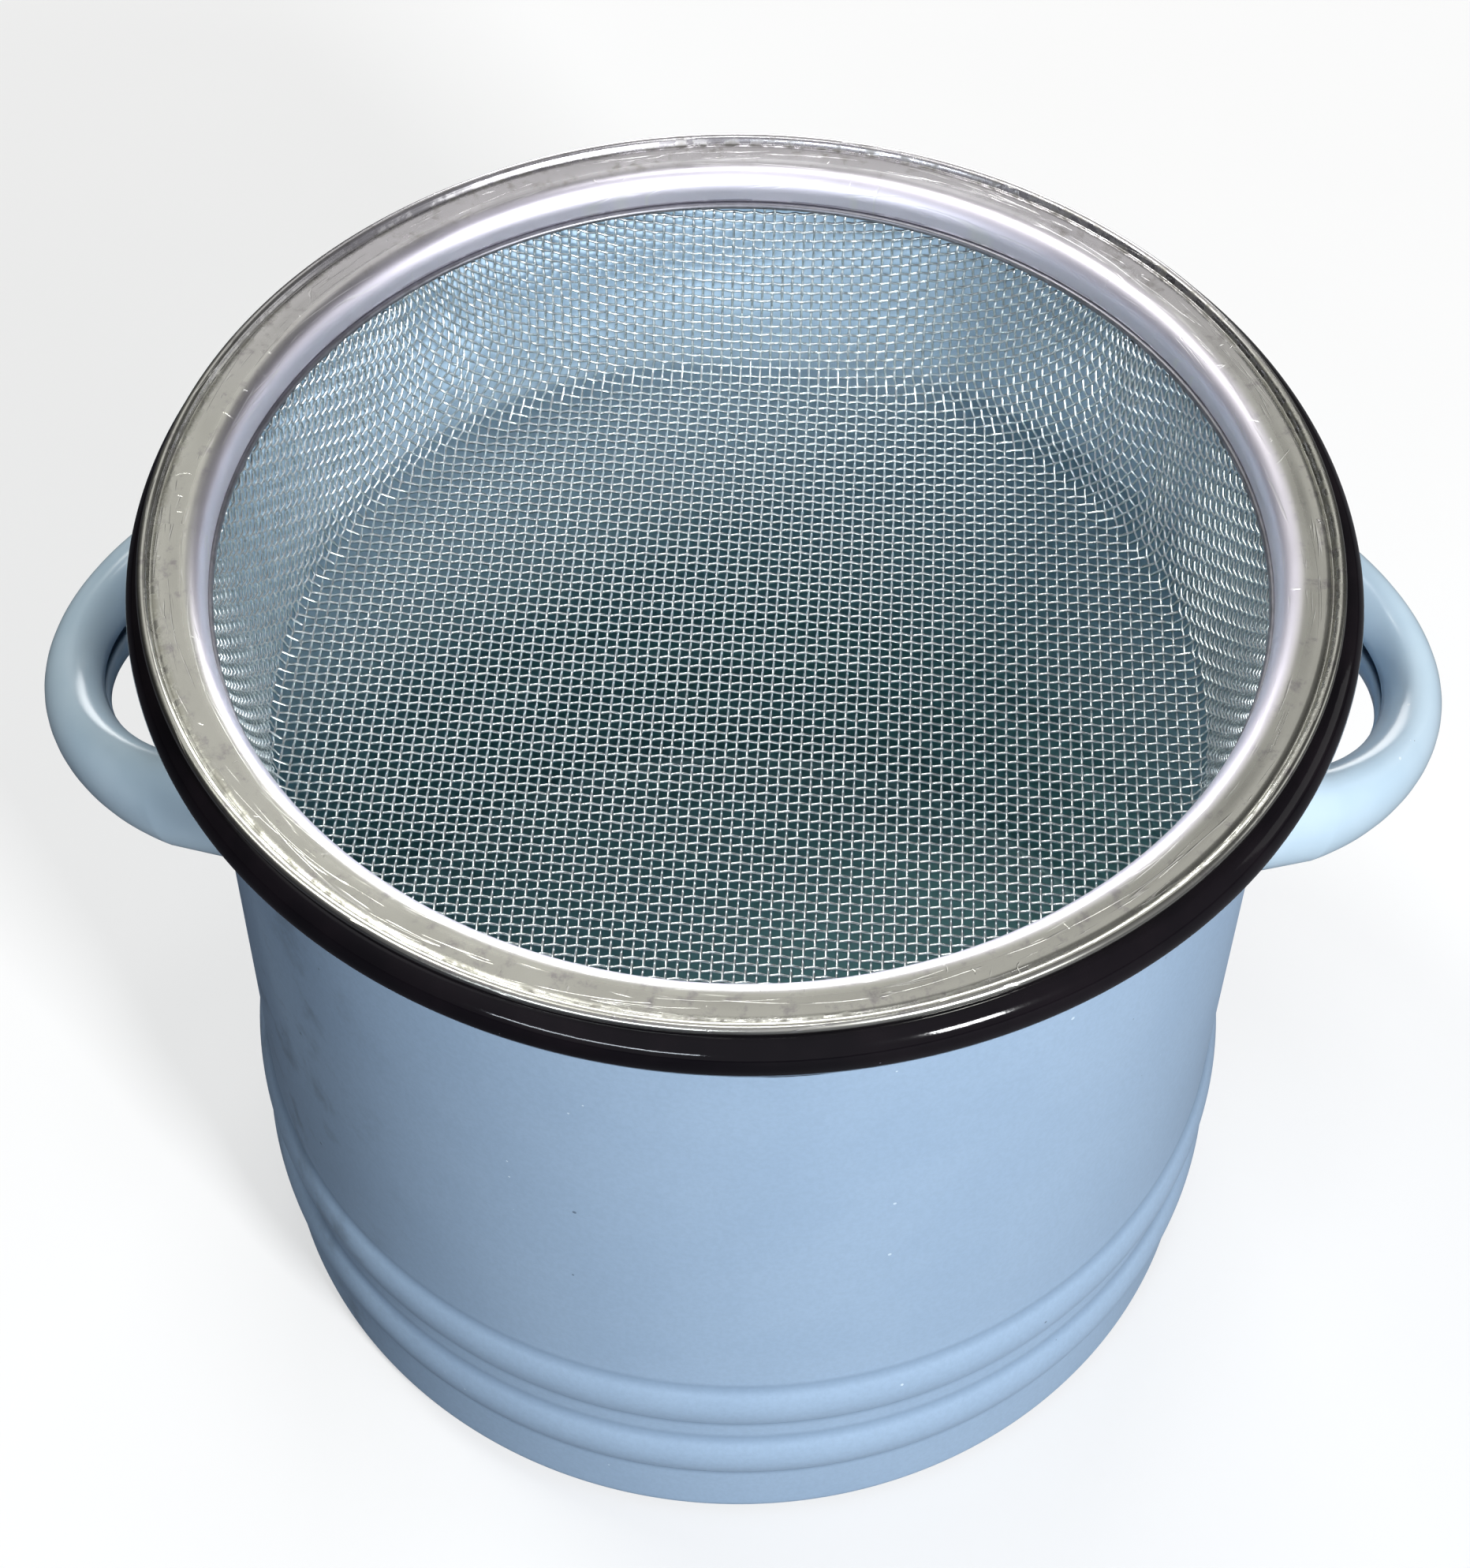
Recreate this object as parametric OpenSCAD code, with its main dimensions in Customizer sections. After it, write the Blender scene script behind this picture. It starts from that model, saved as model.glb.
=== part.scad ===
// Enamelled steel grease keeper with a lift-out wire strainer.
// A pot drawn from one sheet, which is its base, its wall and its rolled black rim,
// two rolled strap handles, and a strainer whose pressed steel ring rests on the rim
// and carries a cup of wire cloth.
// Millimetres, +Z up, the origin under the middle of the pot, the front is -Y.

/* [Pot] */
// Outside diameter of the wall
pot_d = 125; // [105:1:160]
// Height from the table to the top of the rolled rim
pot_h = 117.4; // [105:0.2:150]
// Thickness of the enamelled sheet
wall_t = 0.9; // [0.7:0.1:1.3]
// Outside radius of the corner between wall and base
corner_r = 2.4; // [1.6:0.2:4]
// Height that the middle of the base is raised
base_rise = 1.2; // [0.6:0.1:2]
// Width of the flat ring that the pot stands on
foot_w = 8; // [5:0.5:14]

/* [Beads] */
// Height of the middle of the lower bead
low_bead_z = 16; // [13:0.5:18]
// Height of the middle of the upper bead
high_bead_z = 29.2; // [27:0.2:40]
// Height of one bead along the wall
bead_h = 9.2; // [6:0.2:10]
// How far a bead stands out of the wall
bead_out = 1.3; // [0.6:0.1:2]

/* [Rolled rim] */
// Width of the roll, from the inside of the wall to its outer edge
rim_w = 7.7; // [6.8:0.1:9]
// Height of the roll
rim_h = 6; // [4.6:0.2:6.6]
// Slit between the wall and the end of the roll, under the rim
rim_slit = 0.5; // [0.3:0.1:0.9]

/* [Handles] */
// How far the handles' middle leaves the wall below the top of the rim
handle_drop = 22.6; // [21:0.2:50]
// How far the strap's middle reaches out from its welded ends
handle_reach = 20.5; // [17:0.5:28]
// Distance between the middles of a handle's two ends
handle_w = 44.2; // [38:0.2:52]
// Fullness of the loop, where a higher number makes it more pointed
handle_point = 1.31; // [1.1:0.01:1.5]
// Angle by which the loop hangs below level
handle_droop = 10; // [0:1:16]
// Thickness of the rolled strap at the middle of the loop
strap_t = 7.3; // [5.5:0.1:9]
// Height of the rolled strap at the middle of the loop
strap_h = 11; // [9:0.2:13]
// Thickness of the rolled strap at its ends
strap_end_t = 8.6; // [6:0.1:10]
// Height of the rolled strap at its ends
strap_end_h = 14.8; // [11:0.2:16]
// Thickness of the strap's sheet
strap_sheet = 1.1; // [0.8:0.1:1.5]
// Width of the seam along the inside of the strap
strap_seam = 1.4; // [0.8:0.1:2.4]

/* [Strainer ring] */
// How far the ring's edge lies inside the edge of the rolled rim
ring_step = 2.05; // [1:0.05:2.6]
// Thickness of the ring's sheet
ring_t = 0.6; // [0.4:0.05:0.8]
// Diameter of the bead around the ring's edge
ring_bead_d = 1.3; // [1:0.1:1.5]
// Outside radius of the roll from the flat band down into the collar
ring_roll_r = 2.75; // [2:0.05:3]
// Depth of the collar below the roll
collar_h = 1.65; // [1.2:0.05:4]
// How far the loose strainer has slid off the pot's axis, towards -X
strainer_slip = 0.4; // [0:0.1:0.5]

/* [Wire cup] */
// Height of the hoop's section
hoop_h = 0.9; // [0.8:0.1:1.4]
// Width of the hoop's section
hoop_w = 1.3; // [1.2:0.1:1.4]
// Height of the cup of wire, from its floor to the hoop
cup_h = 24.3; // [18:0.1:60]
// How much narrower the cup is at its floor than at the hoop, in radius
cup_taper = 4.6; // [2:0.1:8]
// Radius of the bend between the cup's floor and wall
cup_bend_r = 3.2; // [2.4:0.1:5]
// Spacing of the wires that are drawn, five steps of a 1.27 mm cloth
wire_pitch = 6.35; // [5.6:0.05:9]
// Diameter of a drawn wire
wire_d = 0.9; // [0.7:0.05:1.1]
// Share of the diameter by which crossing wires are offset
wire_lift = 0.66; // [0.5:0.01:0.8]

/* [Fits] */
// Gap between the ring's collar and the inside of the pot
collar_gap = 1.15; // [1:0.05:2]
// Gap between the hoop and the inside of the pot
hoop_gap = 0.95; // [0.9:0.05:1.5]

/* [Hidden] */
$fn = 96;

// Pot
pot_r = pot_d / 2;
bore_r = pot_r - wall_t;
bead_arc_r = (bead_h * bead_h / 4 + bead_out * bead_out) / (2 * bead_out);
panel_slope = 1.5 * base_rise;

// Rolled rim: a slot-shaped section, its inner side in line with the wall
roll_r = rim_h / 2;
rim_z = pot_h - roll_r;
rim_r = bore_r + rim_w;

// Handles: u runs from 0 at one end of the strap to 1 at the other
handle_z = pot_h - handle_drop;
root_x = sqrt(pot_r * pot_r - handle_w * handle_w / 4);
strap_rings = 26;
strap_sides = 21;
// How far the strap is carried past its ends, to be cut off by the wall
strap_tail = 7;

// Strainer ring
ring_r = rim_r - ring_step;
collar_out_r = bore_r - collar_gap;
collar_in_r = collar_out_r - ring_t;
band_in_r = collar_in_r + ring_roll_r;
ring_top_z = pot_h + ring_t;
roll_z = ring_top_z - ring_roll_r;
collar_low_z = roll_z - collar_h;

// Wire cup, on the middle surface of the cloth
hoop_out_r = bore_r - hoop_gap;
hoop_z = collar_low_z - hoop_h / 2;
cup_top_r = hoop_out_r - hoop_w / 2;
cup_floor_r = cup_top_r - cup_taper;
cup_top_z = hoop_z - hoop_h / 2;
cup_floor_z = cup_top_z - cup_h;
wire_r = wire_d / 2;
layer = wire_lift * wire_d / 2;
// Wires that meet the floor's edge at under 45 degrees turn up the wall
last_riser = floor(cup_floor_r * sin(45) / wire_pitch);
last_wire = floor((cup_floor_r - wire_d) / wire_pitch);
wall_rows = max(1, round(cup_h / wire_pitch) - 1);
// Sides of a drawn wire, and how much fuller it is where its bend ends
wire_sides = 24;
wire_joint = 1.02;

function half_chord(r, offset) = sqrt(r * r - offset * offset);

// ---------- pot ----------

// Half of a solid section across x, with round ends, centred on z = 0
module slot_section(x_in, x_out, r) {
    translate([x_in + r, 0]) circle(r);
    translate([x_out - r, 0]) circle(r);
    translate([x_in + r, -r]) square([x_out - x_in - 2 * r, 2 * r]);
}

// The bulge of one bead, moved inwards by inset
module bead_section(z, inset) {
    intersection() {
        translate([pot_r + bead_out - bead_arc_r, z]) circle(bead_arc_r - inset);
        translate([pot_r - inset - wall_t, z - bead_h]) square([2 * bead_h, 2 * bead_h]);
    }
}

// Half section of the full pot, each face moved inwards by inset
module pot_section(inset, top) {
    r = pot_r - inset;
    c = corner_r - inset;
    difference() {
        union() {
            translate([0, inset + c]) square([r, top - inset - c]);
            translate([0, inset]) square([r - c, top]);
            translate([r - c, inset + c]) circle(c);
            bead_section(low_bead_z, inset);
            bead_section(high_bead_z, inset);
        }
        base_panel(inset);
    }
}

// The raised middle of the base, with a sloping edge
module base_panel(inset) {
    edge = pot_r - foot_w + inset;
    polygon([[0, -1], [edge, -1], [edge, inset], [edge - panel_slope, base_rise + inset],
             [0, base_rise + inset]]);
}

module rim_section() {
    difference() {
        translate([0, rim_z]) slot_section(bore_r, rim_r, roll_r);
        translate([0, rim_z])
            slot_section(bore_r + wall_t, rim_r - wall_t, roll_r - wall_t);
        translate([pot_r, rim_z - 2 * roll_r]) square([rim_slit, 2 * roll_r]);
    }
}

// Half section of the drawn sheet, up to the level of the roll's middle
module shell_section() {
    difference() {
        pot_section(0, rim_z);
        pot_section(wall_t, pot_h);
    }
}

// The part of the plane that the wall takes up, above the corner
module wall_zone() {
    translate([bore_r, corner_r]) square([rim_w, rim_z - corner_r]);
}

// The upright wall with its two beads
module pot_wall() {
    color("lightsteelblue") rotate_extrude() intersection() {
        shell_section();
        wall_zone();
    }
}

// The base with its foot ring, its raised middle and the corner up to the wall
module pot_base() {
    color("lightsteelblue") rotate_extrude() difference() {
        shell_section();
        wall_zone();
    }
}

// The end of the sheet, rolled outwards and down over the wall
module rolled_rim() {
    color("black") rotate_extrude() difference() {
        rim_section();
        translate([bore_r, 0]) square([wall_t, rim_z]);
    }
}

// ---------- handles ----------

// Middle line of the strap, in the plane of the loop, from the wall outwards
function strap_mid(u) = [handle_reach * pow(sin(180 * u), handle_point),
                         handle_w / 2 * cos(180 * u)];
function strap_line() = [for (i = [0:strap_rings]) strap_mid(i / strap_rings)];
function unit(v) = v / norm(v);
function strap_path() =
    let (line = strap_line(), n = strap_rings,
         first = unit(line[1] - line[0]), last = unit(line[n] - line[n - 1]))
    concat([line[0] - strap_tail * first], line, [line[n] + strap_tail * last]);

// Sizes grow from the middle of the loop to its ends
function strap_share(i) = pow(cos(180 * min(1, max(0, (i - 1) / strap_rings))), 2);
function blend(a, b, share) = a + (b - a) * share;

// Section of the rolled strap: out around the outside, back around the inside.
// The seam faces the pot.
function strap_section(half_t, half_h) =
    let (seam = asin(strap_seam / 2 / half_h), n = strap_sides)
    concat([for (k = [0:n]) let (a = seam + (360 - 2 * seam) * k / n)
                [-half_t * cos(a), half_h * sin(a)]],
           [for (k = [n:-1:0]) let (a = seam + (360 - 2 * seam) * k / n)
                [-(half_t - strap_sheet) * cos(a), (half_h - strap_sheet) * sin(a)]]);

function strap_ring(path, i) =
    let (n = len(path) - 1,
         along = unit(path[min(n, i + 1)] - path[max(0, i - 1)]),
         out = [-along[1], along[0]],
         share = strap_share(i),
         section = strap_section(blend(strap_t, strap_end_t, share) / 2,
                                 blend(strap_h, strap_end_h, share) / 2))
    [for (p = section) [path[i][0] + out[0] * p[0], path[i][1] + out[1] * p[0], p[1]]];

module strap() {
    path = strap_path();
    rings = len(path);
    size = 2 * (strap_sides + 1);
    points = [for (i = [0:rings - 1]) each strap_ring(path, i)];
    sides = [for (i = [0:rings - 2]) for (k = [0:size - 1])
                let (a = i * size + k, b = i * size + (k + 1) % size)
                each [[a, b, b + size], [a, b + size, a + size]]];
    first_end = [for (k = [size - 1:-1:0]) k];
    last_end = [for (k = [0:size - 1]) (rings - 1) * size + k];
    polyhedron(points, concat(sides, [first_end, last_end]));
}

module right_handle() {
    color("lightblue") difference() {
        translate([root_x, 0, handle_z]) rotate([0, handle_droop, 0]) strap();
        translate([0, 0, handle_z - 2 * strap_end_h])
            cylinder(r = pot_r, h = 4 * strap_end_h, $fn = 200);
    }
}

module left_handle() {
    mirror([1, 0, 0]) right_handle();
}

// ---------- strainer ----------

module strainer_place() {
    translate([-strainer_slip, 0, 0]) children();
}

// The ring: edge bead, flat band, roll and collar
module strainer_ring() {
    bead_r = ring_bead_d / 2;
    color("silver") strainer_place() rotate_extrude() {
        translate([ring_r - bead_r, pot_h + bead_r]) circle(bead_r);
        translate([band_in_r, pot_h]) square([ring_r - bead_r - band_in_r, ring_t]);
        translate([band_in_r, roll_z]) intersection() {
            difference() {
                circle(ring_roll_r);
                circle(ring_roll_r - ring_t);
            }
            translate([-ring_roll_r, 0]) square(ring_roll_r);
        }
        translate([collar_in_r, collar_low_z]) square([ring_t, collar_h]);
    }
}

module cloth_hoop() {
    color("silver") strainer_place() rotate_extrude()
        translate([0, hoop_z]) slot_section(hoop_out_r - hoop_w, hoop_out_r, hoop_h / 2);
}

// A straight wire between two points of the x-z plane
module wire_run(a, b) {
    d = b - a;
    translate([a[0], 0, a[1]]) rotate([0, atan2(d[0], d[1]), 0])
        cylinder(r = wire_r, h = norm(d), $fn = wire_sides);
}

// Lean of the wall, from upright, in a plane at the given offset from the axis
function wall_lean(offset) =
    atan2(half_chord(cup_top_r, offset) - half_chord(cup_floor_r, offset), cup_h);
// Middle of a wire's bend, from the corner of floor and wall. The wire leaves the
// floor at the height low and climbs inside the middle of the wall.
function bend_mid(lean, low) =
    let (r = cup_bend_r - low)
    [(cup_bend_r * sin(lean) - r - layer) / cos(lean), cup_bend_r];
// Where a wire's bend starts on the floor
function bend_start(offset, low) =
    half_chord(cup_floor_r, offset) + bend_mid(wall_lean(offset), low)[0];

// Wires of one direction on the floor, raised or lowered by low
module floor_wires(low) {
    for (i = [-last_wire:last_wire]) {
        y = i * wire_pitch;
        reach = abs(i) <= last_riser ? bend_start(y, low) : half_chord(cup_floor_r - cup_bend_r, y);
        translate([0, y, 0]) wire_run([-reach, cup_floor_z + low], [reach, cup_floor_z + low]);
    }
}

module cloth_floor() {
    color("gainsboro") strainer_place() {
        floor_wires(layer);
        rotate([0, 0, 90]) floor_wires(-layer);
    }
}

// One wire turning up from the floor and climbing the wall at +X, into the hoop
module riser(y, low) {
    lean = wall_lean(y);
    r = cup_bend_r - low;
    bend_c = [half_chord(cup_floor_r, y), cup_floor_z] + bend_mid(lean, low);
    finish = bend_c + r * [cos(lean), -sin(lean)];
    top = finish + (hoop_z - finish[1]) * [tan(lean), 1];
    translate([0, y, 0]) {
        translate([bend_c[0], 0, bend_c[1]]) rotate([90, 0, 0]) rotate([0, 0, -90])
            rotate_extrude(angle = 90 - lean) translate([r, 0]) circle(wire_r, $fn = wire_sides);
        translate([finish[0], 0, finish[1]]) sphere(r = wire_joint * wire_r, $fn = wire_sides);
        wire_run(finish, top);
    }
}

// A wire that runs around the wall, outside the risers
module wall_round(z) {
    r = cup_floor_r + cup_taper * (z - cup_floor_z) / cup_h + layer;
    translate([0, 0, z]) rotate_extrude() translate([r, 0]) circle(wire_r, $fn = wire_sides);
}

module cloth_wall() {
    color("gainsboro") strainer_place() {
        for (turn = [0, 180]) for (i = [-last_riser:last_riser]) {
            rotate([0, 0, turn]) riser(i * wire_pitch, layer);
            rotate([0, 0, turn + 90]) riser(i * wire_pitch, -layer);
        }
        for (row = [1:wall_rows])
            wall_round(cup_floor_z + row * cup_h / (wall_rows + 1));
    }
}

pot_wall();
pot_base();
rolled_rim();
left_handle();
right_handle();
strainer_ring();
cloth_hoop();
cloth_floor();
cloth_wall();
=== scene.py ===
# Enamelled grease keeper with a lift-out wire strainer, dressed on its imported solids.
# Pale blue vitreous enamel, a black rolled rim, two rolled strap handles, a pressed
# steel ring and a cup of plain-woven wire cloth. Lengths are written in millimetres
# and turned into metres where a mesh is made. The table and the lamps are in metres.
# +Z is up and the front is -Y.
import math

import bpy
import numpy as np
from mathutils import Matrix, Vector


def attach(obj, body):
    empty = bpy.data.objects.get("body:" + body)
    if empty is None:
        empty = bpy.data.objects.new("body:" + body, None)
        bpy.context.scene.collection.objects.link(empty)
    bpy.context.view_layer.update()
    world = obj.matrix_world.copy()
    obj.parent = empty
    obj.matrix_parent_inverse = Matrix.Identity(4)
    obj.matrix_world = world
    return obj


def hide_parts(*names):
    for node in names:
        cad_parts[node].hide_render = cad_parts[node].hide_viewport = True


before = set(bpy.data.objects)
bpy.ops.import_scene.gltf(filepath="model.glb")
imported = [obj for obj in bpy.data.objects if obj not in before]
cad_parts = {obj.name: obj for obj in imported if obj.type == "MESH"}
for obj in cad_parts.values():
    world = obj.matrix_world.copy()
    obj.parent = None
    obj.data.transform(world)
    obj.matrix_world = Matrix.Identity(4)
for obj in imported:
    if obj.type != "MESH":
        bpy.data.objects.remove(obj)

MM = 0.001
TAU = 2 * math.pi
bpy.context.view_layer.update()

# ---------- sizes of the pot, its handles and the strainer ----------
# R is a radius, T a thickness, H a height, W a width and Z a height above the table.
# SIDES and STEPS are counts of the meshes.

POT_R = 62.5
WALL_T = 0.9
BORE_R = POT_R - WALL_T
POT_H = 117.4
CORNER_R = 2.4
BASE_RISE = 1.2
FOOT_W = 8.0
PANEL_SLOPE = 1.8
BEAD_MIDDLES = (16.0, 29.2)
BEAD_H = 9.2
BEAD_OUT = 1.3
BEAD_CREASE = 0.3
BEADS_END_Z, PLAIN_WALL_Z = 40, 44  # the wall's fine steps end, its coarse ones start
POT_SIDES = 288
CRISP = 50  # degrees: sharper edges of the pot and the rim aren't smoothed

RIM_R = 69.26
ROLL_R = 3.0
RIM_Z = POT_H - ROLL_R
RIM_SLIT = 0.5
COAT_LINE_Z, COAT_INSIDE_Z = 103.4, 112.6  # the black coat outside and in the mouth
TEAL_SHADE_FROM_TO_Z = (84.0, 20.0)  # where painted shade turns the inside teal, darker lower down

HANDLE_Z = 94.8
HANDLE_REACH = 20.47
HANDLE_W = 44.2
HANDLE_POINT = 1.31
HANDLE_DROOP = math.radians(10)
STRAP_T, STRAP_H = 7.3, 11.0
STRAP_END_T, STRAP_END_H = 8.6, 14.8
STRAP_SHEET = 1.1
STRAP_SEAM = 1.4
STRAP_LIP = 0.35
STRAP_SIDES, STRAP_STEPS = 34, 120
STRAP_TIP = 0.0005  # share of the loop at which the flare's sections are taken
STRAP_SINK, STRAP_CLEAR = 0.25, 1.9  # depth of the root in the wall, reach of the flare
STRAP_FLARE = ((1.13, 0.0), (1.05, 0.35), (1.015, 0.8), (1.0, 1.4))  # growth, distance
ROOT_X = math.sqrt(POT_R**2 - HANDLE_W**2 / 4)

SLIP = -0.4  # the strainer lies this far to one side
RING_R = 67.25
RING_T = 0.6
RING_BEAD = 0.65
COLLAR_IN_R, COLLAR_OUT_R = 59.85, 60.45
BAND_IN_R = 62.6
RING_ROLL_R = 2.75
RING_TOP = POT_H + RING_T
ROLL_Z = RING_TOP - RING_ROLL_R
COLLAR_LOW = 113.6
GROOVE_R = 65.75
RING_SIDES = 320

HOOP_Z, HOOP_H = 113.15, 0.9
CUP_TOP_R = 60.0
CUP_FLOOR_R = 55.4
CUP_FLOOR_Z = 88.4
CUP_BEND_R = 1.9
WIRE_PITCH = 1.27
WIRE_R = 0.185
CLOTH_TURN = math.radians(-2.2)


# ---------- mesh making ----------


def mesh_piece(name, points, faces, material, body, crisp=None):
    """A smooth mesh from points in millimetres, riding on a body of the frame.

    Edges sharper than the angle crisp, in degrees, stay sharp."""
    mesh = bpy.data.meshes.new(name)
    points = np.asarray(points, float) * MM
    if isinstance(faces, np.ndarray):
        mesh.vertices.add(len(points))
        mesh.vertices.foreach_set("co", points.astype(np.float32).ravel())
        mesh.loops.add(faces.size)
        mesh.loops.foreach_set("vertex_index", faces.astype(np.int32).ravel())
        mesh.polygons.add(len(faces))
        starts = np.arange(0, faces.size, faces.shape[1], dtype=np.int32)
        mesh.polygons.foreach_set("loop_start", starts)
        mesh.update(calc_edges=True)
    else:
        mesh.from_pydata(points.tolist(), [], faces)
        mesh.update()
    mesh.polygons.foreach_set("use_smooth", np.ones(len(mesh.polygons), bool))
    if crisp:
        mesh.set_sharp_from_angle(angle=math.radians(crisp))
    mesh.materials.append(material)
    piece = bpy.data.objects.new(name, mesh)
    bpy.context.scene.collection.objects.link(piece)
    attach(piece, body)
    return piece


def arc(centre, radius, start, end, steps):
    """Points of an arc in the section plane, angles in degrees."""
    a = np.radians(np.linspace(start, end, steps + 1))
    return np.stack([centre[0] + radius * np.cos(a), centre[1] + radius * np.sin(a)], -1)


def turned(profile, segments, wobble=None):
    """Points and faces of a section turned round Z. A point on the axis becomes a pole."""
    profile = np.asarray(profile, float)
    angles = np.arange(segments) * TAU / segments
    points, rings = [], []
    for r, z in profile:
        if r < 1e-6:
            rings.append([len(points)])
            points.append((0.0, 0.0, z))
            continue
        rings.append(list(range(len(points), len(points) + segments)))
        for a in angles:
            dr, dz = wobble(r, z, a) if wobble else (0.0, 0.0)
            points.append(((r + dr) * math.cos(a), (r + dr) * math.sin(a), z + dz))
    faces = []
    closed = len(rings[0]) > 1
    pairs = list(zip(rings, rings[1:])) + ([(rings[-1], rings[0])] if closed else [])
    for low, high in pairs:
        for k in range(segments):
            n = (k + 1) % segments
            if len(low) == 1:
                faces.append((low[0], high[n], high[k]))
            elif len(high) == 1:
                faces.append((low[k], low[n], high[0]))
            else:
                faces.append((low[k], low[n], high[n], high[k]))
    return points, faces


def swept_faces(rings, size):
    """Faces of a tube of rings that each hold the same number of points."""
    faces = []
    for i in range(rings - 1):
        for k in range(size):
            a, b = i * size + k, i * size + (k + 1) % size
            faces.append((a, b, b + size, a + size))
    return faces


# ---------- the pot ----------


def bead_swell(z):
    """How far the pressed beads stand out of the wall at a height, with softened creases."""
    radius = (BEAD_H**2 / 4 + BEAD_OUT**2) / (2 * BEAD_OUT)
    samples = 9
    spread = z + np.linspace(-BEAD_CREASE, BEAD_CREASE, samples)
    out = np.zeros(samples)
    for middle in BEAD_MIDDLES:
        reach = np.sqrt(np.maximum(radius**2 - (spread - middle) ** 2, 0))
        out = np.maximum(out, reach - radius + BEAD_OUT)
    return float(out.mean())


def wall_line(radius, low, high, steps):
    return [(radius + bead_swell(z), z) for z in np.linspace(low, high, steps + 1)]


def shell_profile():
    """Section of the base and the wall, from the axis below to the axis inside."""
    foot = POT_R - FOOT_W
    slope = foot - PANEL_SLOPE
    corner = POT_R - CORNER_R
    floor = BASE_RISE + WALL_T
    # Below: the raised panel, its slope eased at both ends, the foot ring and the corner.
    line = [(0.0, BASE_RISE)]
    line += [(r, BASE_RISE) for r in np.linspace(8, slope - 1.2, 8)]
    line += [(slope - 0.4, BASE_RISE - 0.06), (slope + 0.4, BASE_RISE - 0.35)]
    line += [(foot - 0.5, 0.3), (foot + 0.2, 0.05), (foot + 0.9, 0.0), (corner, 0.0)]
    line += list(arc((corner, CORNER_R), CORNER_R, -84, 0, 14))
    # Up the outside of the wall and down its inside.
    line += wall_line(POT_R, CORNER_R + 1.0, BEADS_END_Z, 110)
    line += [(POT_R, z) for z in np.linspace(PLAIN_WALL_Z, RIM_Z, 18)]
    line += [(BORE_R, z) for z in np.linspace(RIM_Z, PLAIN_WALL_Z, 18)]
    line += wall_line(BORE_R, CORNER_R + 1.0, BEADS_END_Z, 110)[::-1]
    # Inside: the corner, the foot ring and the panel again, one thickness higher.
    line += list(arc((corner, CORNER_R), CORNER_R - WALL_T, 0, -84, 10))
    line += [(corner - 0.6, WALL_T), (foot + 1.4, WALL_T), (foot + 0.6, WALL_T + 0.1)]
    line += [(foot - 0.3, WALL_T + 0.45), (foot - 0.9, floor - 0.1)]
    line += [(r, floor) for r in np.linspace(foot - 2, 8, 8)]
    line += [(0.0, floor)]
    return line


def roll_profile():
    """Section of the rolled rim: through its hollow, round the sheet's end and back outside."""
    cavity = ROLL_R - WALL_T
    end_x = POT_R + RIM_SLIT
    left_x, right_x = BORE_R + ROLL_R, RIM_R - ROLL_R
    lip = math.degrees(math.acos((left_x - end_x) / ROLL_R))
    inner_lip = math.degrees(math.acos((left_x - end_x) / cavity))
    line = list(arc((left_x, RIM_Z), cavity, 180, 90, 9))
    line += list(arc((right_x, RIM_Z), cavity, 90, -90, 16))
    line += list(arc((left_x, RIM_Z), cavity, -90, -180 + inner_lip, 5))
    line += list(arc((left_x, RIM_Z), ROLL_R, -180 + lip, -90, 6))
    line += list(arc((right_x, RIM_Z), ROLL_R, -90, 90, 36))
    line += list(arc((left_x, RIM_Z), ROLL_R, 90, 180, 18))
    return line


def mark_inside(piece, profile, segments, first_inside):
    """Marks the points of a turned section as the sheet's inside, from one step onwards."""
    counts = [1 if r < 1e-6 else segments for r, _ in profile]
    start = sum(counts[:first_inside])
    inside = np.zeros(sum(counts), np.float32)
    inside[start:] = 1.0
    piece.data.attributes.new("inside", "FLOAT", "POINT").data.foreach_set("value", inside)


def make_pot(enamel, rim_black):
    profile = shell_profile()
    points, faces = turned(profile, POT_SIDES)
    pot = mesh_piece("enamelled_pot", points, faces, enamel, "pot", crisp=CRISP)
    mark_inside(pot, profile, POT_SIDES, [r for r, _ in profile].index(BORE_R))
    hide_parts("pot_wall", "pot_base")
    points, faces = turned(roll_profile(), POT_SIDES)
    rim = mesh_piece("enamelled_rim", points, faces, rim_black, "pot", crisp=CRISP)
    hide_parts("rolled_rim")


# ---------- the handles ----------


def strap_outline(half_t, half_h):
    """Section of the rolled strap, open along its seam. The seam is at +x of the section."""
    inner_t, inner_h = half_t - STRAP_SHEET, half_h - STRAP_SHEET
    seam = math.degrees(math.asin((STRAP_SEAM / 2 + STRAP_LIP) / half_h))
    around = np.radians(np.linspace(seam, 360 - seam, STRAP_SIDES + 1))
    outer = np.stack([half_t * np.cos(around), half_h * np.sin(around)], -1)
    inner = np.stack([inner_t * np.cos(around), inner_h * np.sin(around)], -1)[::-1]
    low_lip = (outer[-1] + inner[0]) / 2 + np.array([0.0, STRAP_LIP])
    high_lip = (outer[0] + inner[-1]) / 2 - np.array([0.0, STRAP_LIP])
    return np.concatenate([outer, [low_lip], inner, [high_lip]])


def strap_end(start):
    """Faces that close one end of the strap, between its outer and its inner outline."""
    last = 2 * STRAP_SIDES + 2
    faces = [(i, i + 1, last - i - 1, last - i) for i in range(STRAP_SIDES)]
    faces += [(STRAP_SIDES, STRAP_SIDES + 1, STRAP_SIDES + 2), (0, last, last + 1)]
    return [tuple(start + k for k in face) for face in faces]


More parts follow.
